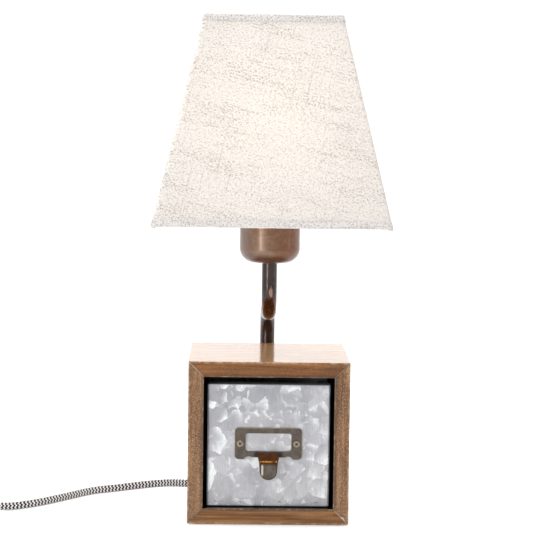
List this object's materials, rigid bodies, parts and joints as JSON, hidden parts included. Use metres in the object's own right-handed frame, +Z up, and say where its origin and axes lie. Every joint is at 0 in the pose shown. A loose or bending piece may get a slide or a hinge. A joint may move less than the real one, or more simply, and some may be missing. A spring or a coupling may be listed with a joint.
{
  "type": "desk lamp with drawer base",
  "caption": "Desk lamp: mitred wooden box with a galvanised drawer, S-bent stem up the back, square tapered linen shade, braided cord with inline switch and plug.",
  "frame": {"origin": "centre of the underside of the felt pad under the wooden case, below the middle of the shade", "axes": "+Z up, -Y towards the user (the drawer opens along -Y), +X to the user's right"},
  "size_m": [0.4711, 0.2192, 0.4091],
  "materials": {
    "stained_wood": "brown stain under satin varnish, worn pale at the mitres and edges, black inside",
    "back_wood": "brown stain, matt",
    "steel": "zinc plated",
    "screw_metal": "dulled nickel",
    "felt": "black felt",
    "galvanised": "hot-dip galvanised with a large spangle",
    "aged_bronze": "aged dark bronze, satin",
    "stem_lacquer": "dark brown bronze lacquer, glossy",
    "cup_bronze": "rubbed brown bronze, satin",
    "black_rubber": "matt",
    "braid": "black and white braided textile sleeve",
    "black_bakelite": "black phenolic",
    "contact_ceramic": "unglazed porcelain",
    "contact_brass": "bright",
    "bulb_cap_metal": "bright",
    "bulb_glass": "clear",
    "filament": "glowing warm white",
    "linen": "natural linen weave with slubs",
    "linen_hem": "natural linen, folded over the rims",
    "liner": "translucent white styrene film",
    "white_wire": "white powder coat",
    "tie_strap": "woven strap",
    "black_plastic": "fine matt",
    "pin_metal": "nickel plated"
  },
  "bodies": {
    "lamp": {"top_board": "stained_wood", "bottom_board": "stained_wood", "left_board": "stained_wood", "right_board": "stained_wood", "back_panel": "back_wood", "panel_brads": "steel", "base_felt": "felt", "stem_tube": "stem_lacquer", "lower_saddle": "stem_lacquer", "upper_saddle": "stem_lacquer", "saddle_screws": "screw_metal", "cord_relief": "black_rubber", "inner_lead": "braid", "socket_cup": "cup_bronze", "stem_nipple": "steel", "cup_washer": "steel", "nipple_nut": "steel", "holder_cap": "black_bakelite", "contact_block": "contact_ceramic", "terminal_screws": "steel", "centre_contact": "contact_brass", "holder_body": "black_bakelite", "screw_shell": "contact_brass", "shade_fabric": "linen", "shade_liner": "liner", "shade_bottom_wire": "white_wire", "shade_top_wire": "white_wire", "shade_spider": "white_wire", "hem_bottom": "linen_hem", "hem_top": "linen_hem", "cord": "braid", "cord_mid": "braid", "cord_tail": "braid", "cord_coil": "braid", "coil_tie": "tie_strap", "switch_base": "black_plastic", "switch_cover": "black_plastic", "switch_pin": "steel", "switch_screws": "screw_metal", "plug_body": "black_plastic", "plug_pins": "pin_metal"},
    "drawer": {"drawer_front": "galvanised", "drawer_tray": "galvanised", "drawer_glides": "felt", "label_pull": "aged_bronze", "pull_screws": "screw_metal", "pull_nuts": "steel"},
    "bulb": {"bulb_cap": "bulb_cap_metal", "bulb_glass": "bulb_glass", "bulb_mount": "bulb_glass", "bulb_filaments": "filament"},
    "shade_nut": {"shade_ring": "black_bakelite"},
    "rocker": {"switch_rocker": "black_plastic"}
  },
  "joints": [
    {"name": "drawer_slide", "type": "slide", "parent": "lamp", "child": "drawer", "axis": [0, -1, 0], "range_m": [0, 0.09]},
    {"name": "rocker_tilt", "type": "hinge", "parent": "lamp", "child": "rocker", "pos_m": [-0.2808, -0.04497, 0.0178], "axis": [0.395, -0.9187, 0], "range_deg": [0, 14]},
    {"name": "bulb_turn", "type": "hinge", "parent": "lamp", "child": "bulb", "pos_m": [0, 0, 0.25], "axis": [0, 0, 1], "range_deg": [0, 2160]},
    {"name": "shade_nut_turn", "type": "hinge", "parent": "lamp", "child": "shade_nut", "pos_m": [0, 0, 0.257], "axis": [0, 0, 1], "range_deg": [0, 1440]}
  ]
}
